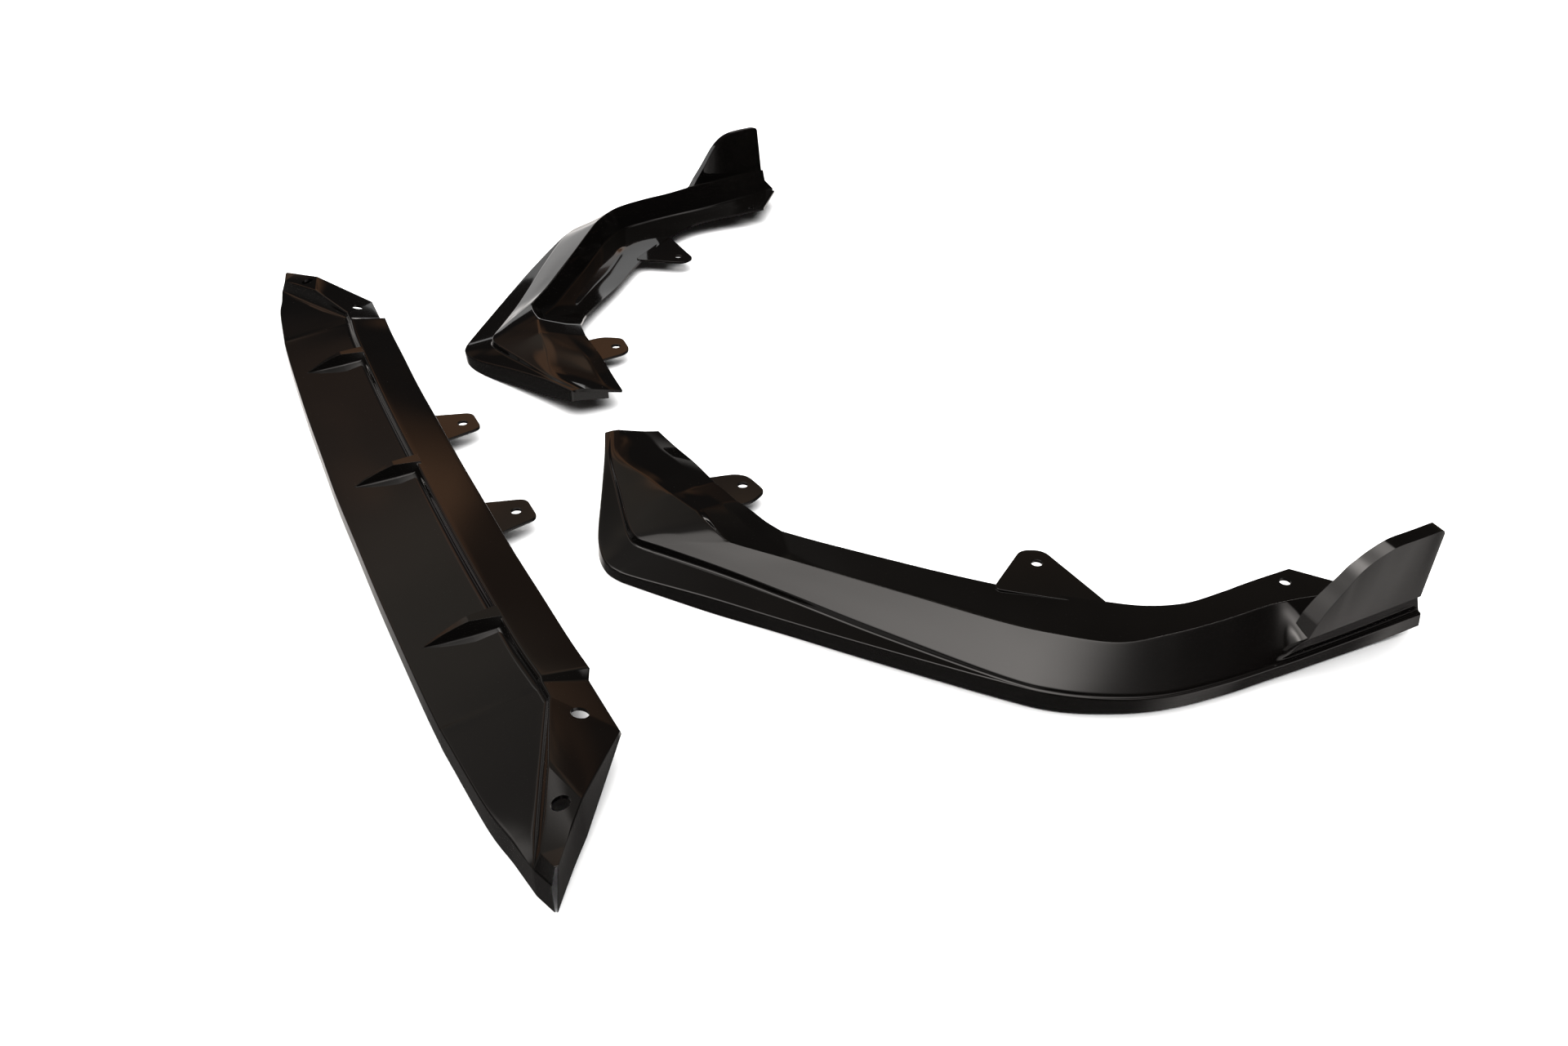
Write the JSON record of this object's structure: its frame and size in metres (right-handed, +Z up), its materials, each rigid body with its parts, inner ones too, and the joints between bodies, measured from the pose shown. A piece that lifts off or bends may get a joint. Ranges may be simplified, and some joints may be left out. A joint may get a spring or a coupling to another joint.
{
  "type": "front splitter lip",
  "caption": "Gloss-black front splitter lip: a long centre moulding and mirrored corner mouldings with upright rear fins, laid out apart, thin shells with screw tabs.",
  "frame": {"origin": "middle of the box around the three mouldings, on the floor they lie on", "axes": "+Z up from the floor, +Y away from the picture's viewpoint, +X to its right"},
  "size_m": [1.2029, 1.4752, 0.1194],
  "materials": {
    "gloss_black": "high-gloss piano-black moulded plastic"
  },
  "bodies": {
    "root": {"centre_splitter": "gloss_black", "left_corner_splitter": "gloss_black", "right_corner_splitter": "gloss_black"}
  },
  "joints": []
}
